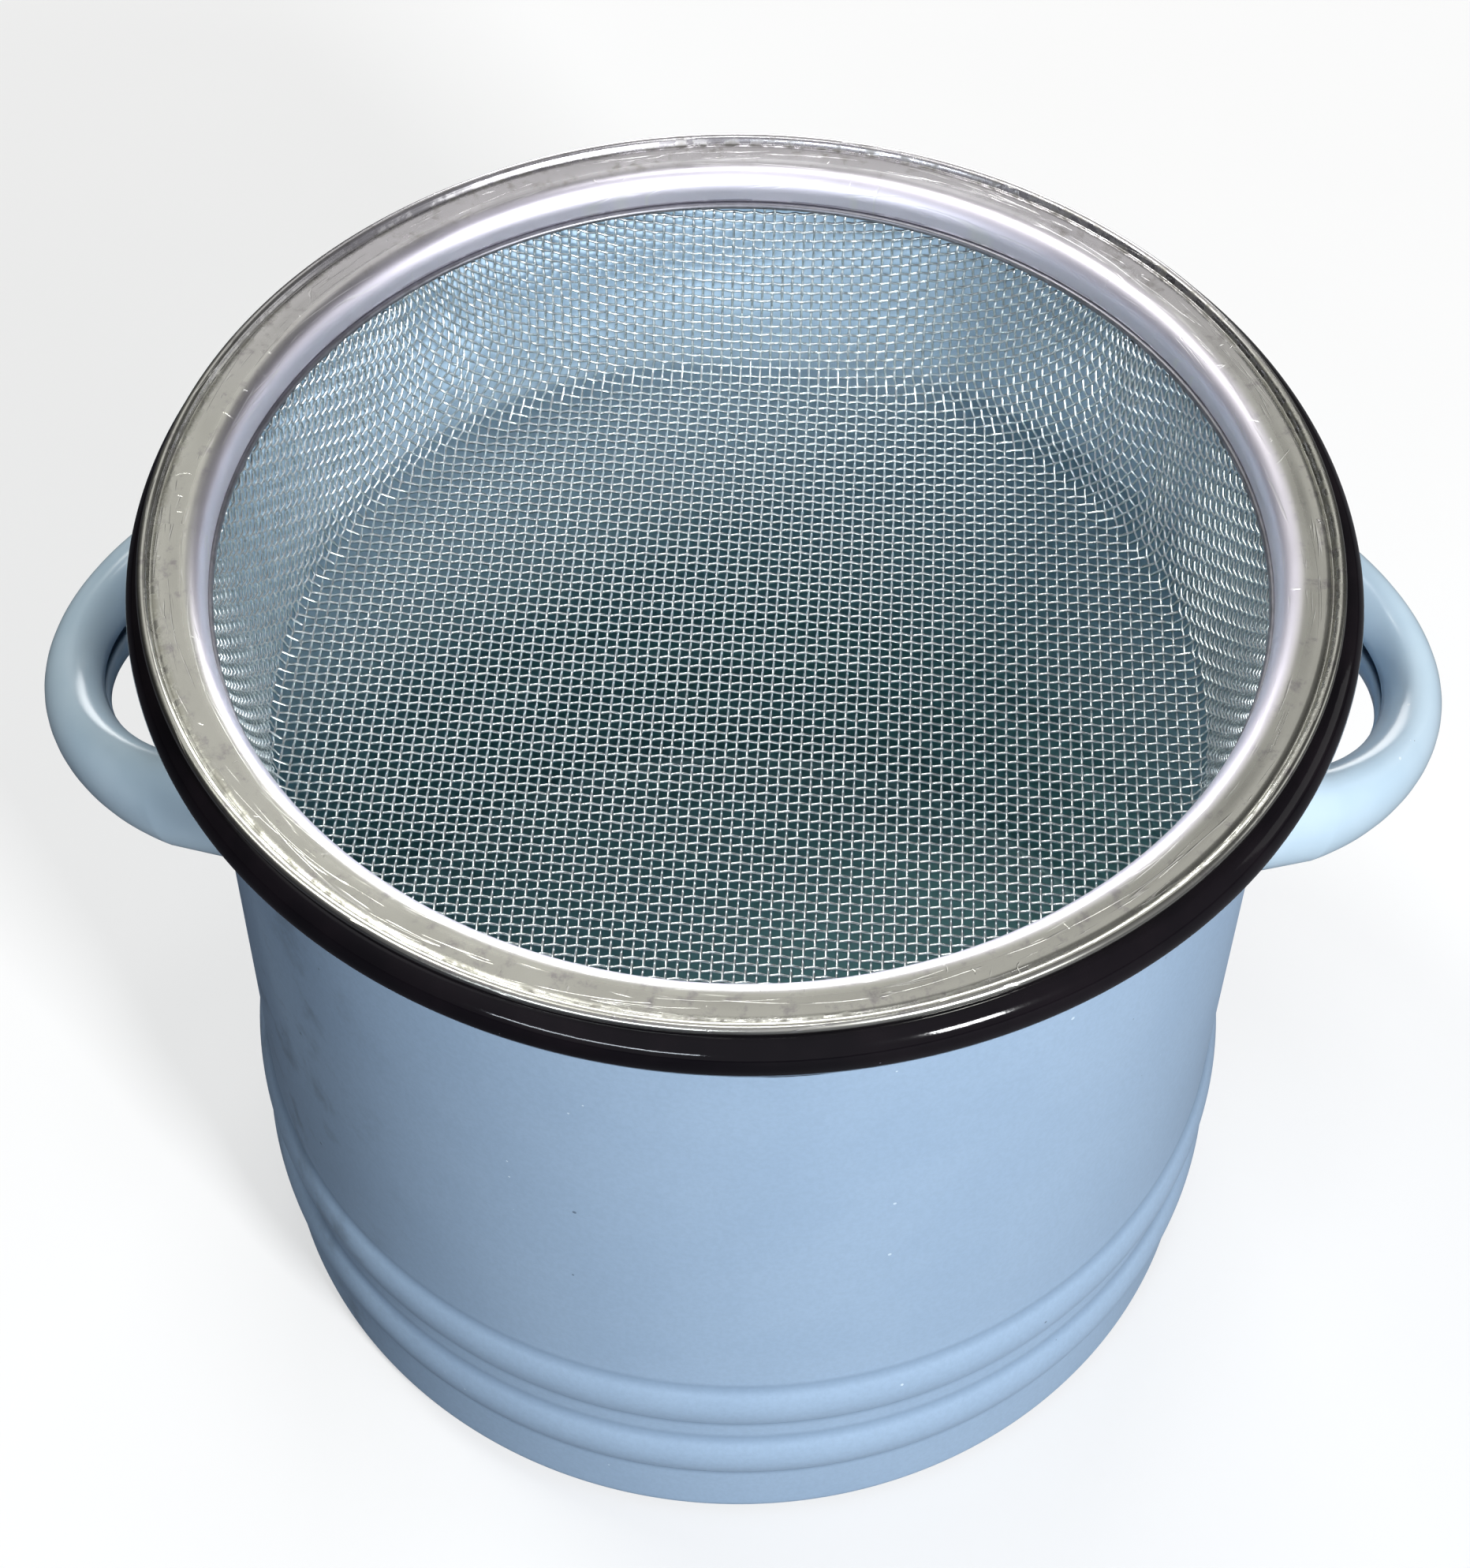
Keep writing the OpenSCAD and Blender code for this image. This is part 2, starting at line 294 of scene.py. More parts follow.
def strap_point(u):
    """The strap's middle line in the loop's plane, its direction and its share of end size."""
    s, c = math.sin(math.pi * u), math.cos(math.pi * u)
    place = np.array([HANDLE_REACH * s**HANDLE_POINT, HANDLE_W / 2 * c])
    along = np.array([HANDLE_REACH * HANDLE_POINT * c, -HANDLE_W / 2 * s ** (2 - HANDLE_POINT)])
    return place, along / np.linalg.norm(along), c * c


def onto_wall(points, away):
    """Each point slid along a direction until it lies just inside the wall's outer face."""
    r = POT_R - STRAP_SINK
    a = away[0] ** 2 + away[1] ** 2
    b = points[:, 0] * away[0] + points[:, 1] * away[1]
    c = points[:, 0] ** 2 + points[:, 1] ** 2 - r * r
    t = (-b + np.sqrt(b * b - a * c)) / a
    return points + t[:, None] * away


def make_handle(name, node, side, enamel):
    """One strap, built for the right side and mirrored for the left. It flares at the wall."""
    cos, sin = math.cos(HANDLE_DROOP), math.sin(HANDLE_DROOP)
    tilt = np.array([[cos, 0, sin], [0, 1, 0], [-sin, 0, cos]])
    away = tilt @ np.array([1.0, 0.0, 0.0])

    def ring(u, grow=1.0):
        place, along, share = strap_point(u)
        out = np.array([-along[1], along[0]])
        half_t = (STRAP_T + (STRAP_END_T - STRAP_T) * share) / 2
        half_h = (STRAP_H + (STRAP_END_H - STRAP_H) * share) / 2
        thick, tall = (strap_outline(half_t, half_h) * grow).T
        flat = np.stack([place[0] - out[0] * thick, place[1] - out[1] * thick, tall], -1)
        return flat @ tilt.T + np.array([ROOT_X, 0, HANDLE_Z])

    def clear_of_wall(points):
        reach = np.hypot(points[:, 0], points[:, 1])
        return points[:, 0].min() > 0 and reach.min() > POT_R + STRAP_CLEAR

    rings = [onto_wall(ring(STRAP_TIP, grow), away) + lift * away for grow, lift in STRAP_FLARE]
    loop = [ring(u) for u in np.linspace(0, 1, STRAP_STEPS + 1)[1:-1]]
    rings += [points for points in loop if clear_of_wall(points)]
    rings += [onto_wall(ring(1 - STRAP_TIP, grow), away) + lift * away
              for grow, lift in STRAP_FLARE[::-1]]
    points = np.concatenate(rings)
    points[:, 0] *= side
    size = len(rings[0])
    faces = swept_faces(len(rings), size)
    faces += [face[::-1] for face in strap_end(0)] + strap_end(size * (len(rings) - 1))
    if side > 0:
        faces = [face[::-1] for face in faces]
    handle = mesh_piece(name, points, faces, enamel, "pot")
    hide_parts(node)


# ---------- the strainer's ring ----------


def ring_profile():
    """Section of the pressed ring: edge bead, groove, flat band, roll-down and collar."""
    bead = (RING_R - RING_BEAD, POT_H + RING_BEAD)
    groove = RING_R - 2 * RING_BEAD
    line = list(arc(bead, RING_BEAD, -90, 150, 22))
    line += [(groove - 0.08, RING_TOP - 0.1), (groove - 0.22, RING_TOP - 0.16)]
    line += [(groove - 0.4, RING_TOP - 0.08), (groove - 0.6, RING_TOP - 0.01)]
    line += [(r, RING_TOP) for r in np.linspace(groove - 1.0, BAND_IN_R + 0.2, 6)]
    line += list(arc((BAND_IN_R, ROLL_Z), RING_ROLL_R, 90, 180, 24))
    line += [(COLLAR_IN_R, z) for z in np.linspace(ROLL_Z - 0.3, COLLAR_LOW + 0.2, 4)]
    line += list(arc(((COLLAR_IN_R + COLLAR_OUT_R) / 2, COLLAR_LOW + 0.3), 0.3, 180, 360, 8))
    line += [(COLLAR_OUT_R, z) for z in np.linspace(COLLAR_LOW + 0.6, ROLL_Z - 0.2, 4)]
    line += list(arc((BAND_IN_R, ROLL_Z), RING_ROLL_R - RING_T, 180, 90, 12))
    line += [(r, POT_H) for r in np.linspace(BAND_IN_R + 0.3, RING_R - RING_BEAD - 0.3, 5)]
    return line


def make_ring(steel):
    """The ring, with shallow dents on the upper face of its flat band."""
    band_middle, band_half, depth = 64.3, 2.4, 0.05

    def dents(r, z, a):
        flat = max(0.0, 1 - abs(r - band_middle) / band_half) * (z > POT_H + 0.2)
        return 0.0, -depth * flat * (1 + math.sin(5 * a + 1.1) * math.sin(13 * a))

    points, faces = turned(ring_profile(), RING_SIDES, dents)
    points = np.asarray(points) + np.array([SLIP, 0, 0])
    ring = mesh_piece("pressed_ring", points, faces, steel, "strainer")
    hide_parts("strainer_ring")


# ---------- the wire cloth ----------

LEAN = math.atan2(CUP_TOP_R - CUP_FLOOR_R, HOOP_Z - HOOP_H / 2 - CUP_FLOOR_Z)
TURN = math.pi / 2 - LEAN
FLAT_U = CUP_FLOOR_R - CUP_BEND_R * math.tan(TURN / 2)
BEND_U = CUP_BEND_R * TURN


def cup_section(u):
    """Radius and height on the cup at a distance from its middle, measured along it."""
    a = np.clip((u - FLAT_U) / CUP_BEND_R, 0, TURN)
    wall = np.maximum(u - FLAT_U - BEND_U, 0)
    r = np.minimum(u, FLAT_U) + CUP_BEND_R * np.sin(a) + wall * math.sin(LEAN)
    z = CUP_FLOOR_Z + CUP_BEND_R * (1 - np.cos(a)) + wall * math.cos(LEAN)
    return r, z


def cup_point(u, t):
    r, z = cup_section(u)
    return np.stack([r * np.cos(t), r * np.sin(t), z], -1)


WALL_U = (HOOP_Z - CUP_FLOOR_Z - CUP_BEND_R * (1 - math.cos(TURN))) / math.cos(LEAN)
EDGE_U = FLAT_U + BEND_U + WALL_U


def drape(steps):
    """Crossings of a square wire cloth pressed into the cup, for one quarter.

    Each crossing lies one pitch from the two before it, so the squares shear into
    diamonds where the cloth has to gather. Newton's method finds it from a guess."""
    rounds, tiny, most_u, most_t = 20, 1e-5, 0.5, 0.02
    u = np.full((steps + 1, steps + 1), np.nan)
    t = np.full((steps + 1, steps + 1), np.nan)
    k = np.arange(steps + 1)
    u[k, 0] = u[0, k] = k * WIRE_PITCH
    t[k, 0], t[0, k] = 0.0, math.pi / 2
    for s in range(2, 2 * steps + 1):
        i = np.arange(max(1, s - steps), min(steps, s - 1) + 1)
        j = s - i
        one = cup_point(u[i - 1, j], t[i - 1, j])
        two = cup_point(u[i, j - 1], t[i, j - 1])
        guess = one + two - cup_point(u[i - 1, j - 1], t[i - 1, j - 1])
        tt = np.arctan2(guess[:, 1], guess[:, 0])
        uu = np.hypot(guess[:, 0], guess[:, 1])
        uu = np.where(uu > FLAT_U, u[i - 1, j] + u[i, j - 1] - u[i - 1, j - 1], uu)
        for _ in range(rounds):
            q = cup_point(uu, tt)
            f = ((q - one) ** 2).sum(-1) - WIRE_PITCH**2
            g = ((q - two) ** 2).sum(-1) - WIRE_PITCH**2
            qu = (cup_point(uu + tiny, tt) - q) / tiny
            qt = (cup_point(uu, tt + tiny) - q) / tiny
            fu, ft = 2 * ((q - one) * qu).sum(-1), 2 * ((q - one) * qt).sum(-1)
            gu, gt = 2 * ((q - two) * qu).sum(-1), 2 * ((q - two) * qt).sum(-1)
            det = fu * gt - ft * gu
            uu = uu - np.clip((f * gt - g * ft) / det, -most_u, most_u)
            tt = tt - np.clip((g * fu - f * gu) / det, -most_t, most_t)
        u[i, j], t[i, j] = uu, tt
    return u, t


def cloth_crossings():
    """Distance and angle of every crossing of the whole cloth, the middle one at [n, n]."""
    n = int(EDGE_U / WIRE_PITCH) + 2
    qu, qt = drape(n)
    u = np.full((2 * n + 1, 2 * n + 1), np.nan)
    t = np.full((2 * n + 1, 2 * n + 1), np.nan)
    u[n:, n:], t[n:, n:] = qu, qt
    u[n::-1, n:], t[n::-1, n:] = qu, math.pi - qt
    u[n::-1, n::-1], t[n::-1, n::-1] = qu, math.pi + qt
    u[n:, n::-1], t[n:, n::-1] = qu, -qt
    return u, t


def cloth_sag(u, t):
    """Small unevenness of the cloth along its normal, with soft folds at its four gathers."""
    fold_depth, ripple_depth = 0.55, 0.18
    floor = np.clip((FLAT_U - u) / FLAT_U, 0, 1)
    x, y = u * np.cos(t), u * np.sin(t)
    waves = 0.22 * np.sin(x / 13 + 0.6) * np.sin(y / 17 + 1.9)
    waves = waves + 0.12 * np.sin((x + 0.7 * y) / 8.5)
    wall = np.clip((u - FLAT_U) / 8, 0, 1) * np.clip((EDGE_U - u) / 8, 0, 1)
    quarter = np.mod(t + 0.18 * np.sin(3 * t), math.pi / 2) - math.pi / 4
    fold = np.exp(-(quarter / 0.2) ** 2) * np.cos(quarter * 34)
    ripple = np.sin(9 * t + 0.5)
    return waves * np.minimum(floor * 4, 1) + wall * (fold_depth * fold + ripple_depth * ripple)


def cup_frame(u, t):
    """Places on the sagging cloth and the normals there, which point into the cup."""
    climb = np.clip((u - FLAT_U) / CUP_BEND_R, 0, TURN)
    inward = -np.sin(climb)
    normal = np.stack([inward * np.cos(t), inward * np.sin(t), np.cos(climb)], -1)
    return cup_point(u, t) + cloth_sag(u, t)[..., None] * normal, normal


def unit(vectors):
    return vectors / np.linalg.norm(vectors, axis=-1, keepdims=True)


def wire_tube(u, t, over):
    """One crimped wire of six sides through its crossings.

    over is +1 where it passes above the other wire and -1 where it passes below."""
    sides = 6
    place, upright = cup_frame(u, t)
    count = 2 * len(place) - 1
    line = np.empty((count, 3))
    normal = np.empty((count, 3))
    line[::2] = place + (over * WIRE_R)[:, None] * upright
    line[1::2] = (place[1:] + place[:-1]) / 2
    normal[::2] = upright
    normal[1::2] = unit(upright[1:] + upright[:-1])
    along = unit(np.gradient(line, axis=0))
    side = unit(np.cross(along, normal))
    up = np.cross(side, along)
    a = (np.arange(sides) + 0.5) * TAU / sides
    cos, sin = np.cos(a)[:, None], np.sin(a)[:, None]
    rings = line[:, None] + WIRE_R * (cos * side[:, None] + sin * up[:, None])
    base = np.arange(count - 1)[:, None] * sides
    here = base + np.arange(sides)
    after = base + (np.arange(sides) + 1) % sides
    faces = np.stack([here, sides + here, sides + after, after], -1).reshape(-1, 4)
    last = (count - 1) * sides
    caps = [[0, 1, 2, 3], [0, 3, 4, 5],
            [last + 3, last + 2, last + 1, last], [last + 5, last + 4, last + 3, last]]
    return rings.reshape(-1, 3), np.concatenate([faces, np.array(caps)])


def cloth_wires():
    """Points and faces of the wires of each direction, trimmed inside the hoop."""
    u, t = cloth_crossings()
    both = []
    for sign, distances, angles in ((1, u.T, t.T), (-1, u, t)):
        wires = []
        for row, (uu, tt) in enumerate(zip(distances, angles)):
            keep = np.where(np.isfinite(uu) & (uu < EDGE_U))[0]
            if len(keep) < 4:
                continue
            keep = np.arange(keep.min(), keep.max() + 1)
            over = (-1.0) ** (keep + row) * sign
            wires.append(wire_tube(uu[keep], np.unwrap(tt[keep]) + CLOTH_TURN, over))
        both.append(wires)
    return both


def make_cloth(steel):
    """The wires of each direction, in two halves each."""
    pieces = []
    for way, wires in zip("ab", cloth_wires()):
        half = len(wires) // 2
        for part, some in (("1", wires[:half]), ("2", wires[half:])):
            points, faces, start = [], [], 0
            for wire_points, wire_faces in some:
                points.append(wire_points)
                faces.append(wire_faces + start)
                start += len(wire_points)
            points = np.concatenate(points) + np.array([SLIP, 0, 0])
            pieces.append(mesh_piece("cloth_wires_" + way + part, points,
                                     np.concatenate(faces), steel, "strainer"))
    for piece in pieces:
        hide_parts("cloth_floor", "cloth_wall")


# ---------- shader making ----------


def fill(tree, node, inputs):
    """Fills a node's inputs with values or with other nodes' outputs."""
    for key, value in dict(inputs).items():
        if isinstance(value, bpy.types.NodeSocket):
            tree.links.new(value, node.inputs[key])
        else:
            node.inputs[key].default_value = value
    return node


def put(tree, kind, inputs=(), **settings):
    """Adds a shader node, sets it and fills its inputs."""
    node = tree.nodes.new(kind)
    for key, value in settings.items():
        setattr(node, key, value)
    return fill(tree, node, inputs)


def maths(tree, operation, a, b=0.0, c=0.0):
    return put(tree, "ShaderNodeMath", {0: a, 1: b, 2: c}, operation=operation).outputs[0]


def between(tree, value, low, high, to_low=0.0, to_high=1.0, kind="SMOOTHSTEP"):
    """A value carried from one range to another and held at the ends."""
    node = put(tree, "ShaderNodeMapRange",
               {"Value": value, "From Min": low, "From Max": high, "To Min": to_low,
                "To Max": to_high}, interpolation_type=kind)
    return node.outputs["Result"]


def mix_colour(tree, share, a, b):
    node = put(tree, "ShaderNodeMix", {"Factor": share, 6: a, 7: b}, data_type="RGBA")
    return node.outputs[2]


def mix_number(tree, share, a, b):
    return put(tree, "ShaderNodeMix", {0: share, 2: a, 3: b}, data_type="FLOAT").outputs[0]


def rgb(r, g, b):
    return (r, g, b, 1.0)


def parts_of(tree, vector):
    """The x, y and z of a vector."""
    return put(tree, "ShaderNodeSeparateXYZ", {0: vector}).outputs


def folded(tree, operation, values):
    """One value from several, taken in turn, such as the largest of them."""
    result = values[0]
    for value in values[1:]:
        result = maths(tree, operation, result, value)
    return result


def scaled(tree, vector, by):
    node = put(tree, "ShaderNodeVectorMath", {0: vector, "Scale": by}, operation="SCALE")
    return node.outputs[0]


def object_place(tree):
    """Position on the object in millimetres."""
    place = put(tree, "ShaderNodeTexCoord").outputs["Object"]
    return scaled(tree, place, 1 / MM)


def noise(tree, vector, size, detail=2.0, rough=0.5):
    node = put(tree, "ShaderNodeTexNoise", {"Vector": vector, "Scale": 1.0 / size,
                                            "Detail": detail, "Roughness": rough})
    return node.outputs["Fac"]


def new_group(name, inputs, outputs):
    """A shader node group with named number, vector or colour sockets."""
    tree = bpy.data.node_groups.new(name, "ShaderNodeTree")
    kinds = {"value": "NodeSocketFloat", "vector": "NodeSocketVector"}
    for label, kind, default in inputs:
        socket = tree.interface.new_socket(label, in_out="INPUT", socket_type=kinds[kind])
        if default is not None:
            socket.default_value = default
    for label, kind in outputs:
        tree.interface.new_socket(label, in_out="OUTPUT", socket_type=kinds[kind])
    return tree, tree.nodes.new("NodeGroupInput").outputs, tree.nodes.new("NodeGroupOutput")


def use_group(tree, group, inputs=()):
    return put(tree, "ShaderNodeGroup", inputs, node_tree=group)


def round_place_group():
    """Position on a round piece: millimetres round it, out from its axis and up."""
    tree, given, out = new_group("Round Place", [("Radius", "value", POT_R)],
                                 [("Unrolled", "vector"), ("Out", "value"), ("Up", "value")])
    x, y, z = parts_of(tree, object_place(tree))
    angle = maths(tree, "ARCTAN2", y, x)
    reach = maths(tree, "SQRT", maths(tree, "MULTIPLY_ADD", x, x, maths(tree, "MULTIPLY", y, y)))
    round_by = maths(tree, "MULTIPLY", angle, given["Radius"])
    unrolled = put(tree, "ShaderNodeCombineXYZ", {0: round_by, 1: reach, 2: z}).outputs[0]
    fill(tree, out, {"Unrolled": unrolled, "Out": reach, "Up": z})
    return tree


def enamel_skin_group():
    """Fired enamel: soft clouds and grain of colour, orange peel, and pale and dark specks."""
    tree, given, out = new_group(
        "Enamel Skin",
        [("Cloud Size", "value", 14.0), ("Peel Size", "value", 1.1),
         ("Peel Depth", "value", 0.02), ("Speck Size", "value", 1.6)],
        [("Cloud", "value"), ("Grain", "value"), ("Height", "value"),
         ("Pale Specks", "value"), ("Dark Specks", "value")])
    place = object_place(tree)

    def at_size(name):
        return scaled(tree, place, maths(tree, "DIVIDE", 1.0, given[name]))

    broad = noise(tree, at_size("Cloud Size"), 1.0, 3.0, 0.55)
    peel = noise(tree, at_size("Peel Size"), 1.0, 1.0, 0.5)
    pits = noise(tree, at_size("Peel Size"), 0.22, 1.0, 0.5)
    mottle = noise(tree, at_size("Peel Size"), 0.5, 3.0, 0.7)
    relief = maths(tree, "MULTIPLY_ADD", pits, 0.25, peel)
    # One speck may sit in each cell. The cell's colour draws its size and its kind.
    cells = put(tree, "ShaderNodeTexVoronoi", {"Vector": at_size("Speck Size"), "Scale": 1.0})
    chance = put(tree, "ShaderNodeSeparateColor", {0: cells.outputs["Color"]}).outputs
    size = maths(tree, "MULTIPLY", chance[0], 0.09)
    spot = maths(tree, "LESS_THAN", cells.outputs["Distance"], size)
    is_pale = maths(tree, "GREATER_THAN", chance[1], 0.86)
    is_dark = maths(tree, "LESS_THAN", chance[1], 0.09)
    fill(tree, out, {"Cloud": between(tree, broad, 0.3, 0.7),
                     "Grain": between(tree, mottle, 0.32, 0.68),
                     "Height": maths(tree, "MULTIPLY", relief, given["Peel Depth"]),
                     "Pale Specks": maths(tree, "MULTIPLY", spot, is_pale),
                     "Dark Specks": maths(tree, "MULTIPLY", spot, is_dark)})
    return tree


def hairline_group():
    """Fine scratches in one direction of a flat vector, broken up along their length."""
    tree, given, out = new_group(
        "Hairlines",
        [("Vector", "vector", None), ("Turn", "value", 0.0), ("Length", "value", 9.0),
         ("Spread", "value", 0.7), ("Width", "value", 0.02), ("Amount", "value", 0.5)],
        [("Mask", "value")])
    turned_by = put(tree, "ShaderNodeVectorRotate",
                    {"Vector": given["Vector"], "Angle": given["Turn"]}, rotation_type="Z_AXIS")
    x, y, _ = parts_of(tree, turned_by.outputs[0])
    long_way = maths(tree, "DIVIDE", x, given["Length"])
    wide_way = maths(tree, "DIVIDE", y, given["Spread"])
    stretched = put(tree, "ShaderNodeCombineXYZ", {0: long_way, 1: wide_way, 2: 0.0}).outputs[0]
    # A scratch runs where the noise passes its middle value.
    field = noise(tree, stretched, 1.0, 1.0, 0.4)
    line = maths(tree, "ABSOLUTE", maths(tree, "SUBTRACT", field, 0.5))
    line = between(tree, line, given["Width"], 0.0)
    elsewhere = put(tree, "ShaderNodeVectorMath", {0: stretched, 1: (17.3, 5.1, 3.0)},
                    operation="ADD").outputs[0]
    gate = noise(tree, elsewhere, 1.4, 2.0, 0.6)
    limit = maths(tree, "SUBTRACT", 0.75, maths(tree, "MULTIPLY", given["Amount"], 0.35))
    gate = between(tree, gate, limit, maths(tree, "ADD", limit, 0.04))
    fill(tree, out, {"Mask": maths(tree, "MULTIPLY", line, gate)})
    return tree


def new_material(name):
    material = bpy.data.materials.new(name)
    material.use_nodes = True
    tree = material.node_tree
    tree.nodes.clear()
    shader = tree.nodes.new("ShaderNodeBsdfPrincipled")
    output = tree.nodes.new("ShaderNodeOutputMaterial")
    tree.links.new(shader.outputs[0], output.inputs["Surface"])
    return material, tree, shader


def bump(tree, height):
    """A normal from a height in millimetres."""
    inputs = {"Height": height, "Distance": MM, "Strength": 1.0}
    return put(tree, "ShaderNodeBump", inputs).outputs[0]


BLUE = rgb(0.36, 0.487, 0.648)
BLUE_DEEP = rgb(0.34, 0.465, 0.625)
BLUE_GRAIN = rgb(0.20, 0.28, 0.38)
BLUE_CREASE_SHADE = rgb(0.17, 0.25, 0.36)
BLUE_INSIDE_LIT = rgb(0.60, 0.78, 0.94)
TEAL_DEPTH_SHADE = rgb(0.21, 0.42, 0.43)
DUST = rgb(0.70, 0.76, 0.80)
SMUDGE_AND_SHADE = rgb(0.12, 0.15, 0.18)
BLACK = rgb(0.0045, 0.0038, 0.0052)
BLACK_DUST = rgb(0.09, 0.09, 0.11)


def black_coat_group(round_place):
    """The black coat's mask on the wall, which ends in an uneven line under the roll."""
    tree, given, out = new_group("Black Coat", [("Line Height", "value", COAT_LINE_Z)],
                                 [("Mask", "value")])
    where = use_group(tree, round_place).outputs
    sway = maths(tree, "SUBTRACT", noise(tree, where["Unrolled"], 24.0, 1.0, 0.5), 0.5)
    fine = maths(tree, "SUBTRACT", noise(tree, where["Unrolled"], 3.5, 1.0, 0.5), 0.5)
    edge = maths(tree, "MULTIPLY_ADD", sway, 2.4, given["Line Height"])
    edge = maths(tree, "MULTIPLY_ADD", fine, 0.4, edge)
    over = maths(tree, "SUBTRACT", where["Up"], edge)
    fill(tree, out, {"Mask": between(tree, over, -0.1, 0.1)})
    return tree


def pot_enamel(round_place, skin, black_coat):
    """Blue enamel outside and black near the rim. Inside is a paler blue as painted light, which
    deepens to teal lower down as painted shade.

    The blue is grainy and dusty on its left, smudged there with painted shade mixed in, and
    darker in the beads' creases as painted shade."""
    material, tree, shader = new_material("pot_enamel")
    where = use_group(tree, round_place).outputs
    up = where["Up"]
    across, ahead, _ = parts_of(tree, object_place(tree))
    coat = use_group(tree, skin, {"Cloud Size": 20.0, "Peel Size": 1.4, "Peel Depth": 0.012,
                                  "Speck Size": 3.0}).outputs
    inside = put(tree, "ShaderNodeAttribute", attribute_name="inside").outputs["Fac"]

    blue = mix_colour(tree, coat["Cloud"], BLUE_DEEP, BLUE)
    blue = mix_colour(tree, maths(tree, "MULTIPLY", coat["Grain"], 0.16), blue, BLUE_GRAIN)

    dust = use_group(tree, skin, {"Speck Size": 2.0}).outputs["Pale Specks"]
    dust = maths(tree, "MULTIPLY", dust, between(tree, across, -30.0, -50.0))
    blue = mix_colour(tree, dust, blue, DUST)

    # Dark smudges on the left, which also darken the left side as painted shade.
    smudge_and_shade = between(tree, noise(tree, where["Unrolled"], 9.0, 4.0, 0.7), 0.5, 0.72)
    smudge_and_shade = maths(tree, "MULTIPLY", smudge_and_shade, between(tree, across, -34.0, -54.0))
    smudge_and_shade = maths(tree, "MULTIPLY", smudge_and_shade, between(tree, ahead, 25.0, 0.0))
    blue = mix_colour(tree, maths(tree, "MULTIPLY", smudge_and_shade, 0.4), blue, SMUDGE_AND_SHADE)

    # Painted shade: the blue is darkened along the beads' creases.
    creases = [middle + side * BEAD_H / 2 for middle in BEAD_MIDDLES for side in (-1, 1)]
    near = [maths(tree, "ABSOLUTE", maths(tree, "SUBTRACT", up, z)) for z in creases]
    crease_shade = between(tree, folded(tree, "MINIMUM", near), 1.3, 0.1)
    blue = mix_colour(tree, maths(tree, "MULTIPLY", crease_shade, 0.5), blue, BLUE_CREASE_SHADE)

    # Painted light: the inside is paler than the outside. Painted shade: it darkens to teal with
    # depth.
    blue = mix_colour(tree, inside, blue, BLUE_INSIDE_LIT)
    depth_shade = maths(tree, "MULTIPLY", inside, between(tree, up, *TEAL_SHADE_FROM_TO_Z))
    blue = mix_colour(tree, depth_shade, blue, TEAL_DEPTH_SHADE)
    blue = mix_colour(tree, coat["Pale Specks"], blue, rgb(0.62, 0.74, 0.86))
    blue = mix_colour(tree, coat["Dark Specks"], blue, rgb(0.16, 0.22, 0.30))

    mask = use_group(tree, black_coat, {"Line Height": COAT_LINE_Z}).outputs["Mask"]
    mouth = maths(tree, "GREATER_THAN", up, COAT_INSIDE_Z)
    coated = maths(tree, "MAXIMUM", maths(tree, "SUBTRACT", 1.0, inside), mouth)
    black = maths(tree, "MULTIPLY", mask, coated)
    dusty_black = mix_colour(tree, coat["Pale Specks"], BLACK, BLACK_DUST)
    rough = mix_number(tree, black, mix_number(tree, inside, 0.46, 0.30), 0.07)
    height = maths(tree, "MULTIPLY_ADD", black, 0.05, coat["Height"])
    fill(tree, shader, {"Base Color": mix_colour(tree, black, blue, dusty_black),
                        "Roughness": rough, "Normal": bump(tree, height), "IOR": 1.5})
    return material


def rim_enamel(skin):
    """Gloss black enamel of the rolled rim, with a little dust fired into it."""
    material, tree, shader = new_material("rim_enamel")
    coat = use_group(tree, skin, {"Cloud Size": 9.0, "Peel Size": 1.6, "Peel Depth": 0.01,
                                  "Speck Size": 2.6}).outputs
    black = mix_colour(tree, coat["Cloud"], BLACK, rgb(0.008, 0.006, 0.008))
    black = mix_colour(tree, coat["Pale Specks"], black, BLACK_DUST)
    rough = between(tree, coat["Cloud"], 0.0, 1.0, 0.06, 0.1, kind="LINEAR")
    fill(tree, shader, {"Base Color": black, "Roughness": rough,
                        "Normal": bump(tree, coat["Height"]), "IOR": 1.32})
    return material


def handle_enamel(skin):
    """A paler, glossier blue on the two straps, paler partly by their own enamel and partly as
    painted light for the stronger light they catch.
    """
    material, tree, shader = new_material("handle_enamel")
    coat = use_group(tree, skin, {"Cloud Size": 12.0, "Peel Size": 1.8, "Peel Depth": 0.014,
                                  "Speck Size": 3.0}).outputs
    # Partly painted light: the straps' blue is lighter than the body's.
    blue = mix_colour(tree, coat["Cloud"], rgb(0.50, 0.645, 0.76), rgb(0.56, 0.70, 0.81))
    blue = mix_colour(tree, coat["Dark Specks"], blue, rgb(0.14, 0.18, 0.22))
    blue = mix_colour(tree, coat["Pale Specks"], blue, rgb(0.7, 0.8, 0.88))
    fill(tree, shader, {"Base Color": blue, "Roughness": 0.22,
                        "Normal": bump(tree, coat["Height"]), "IOR": 1.5})
    return material


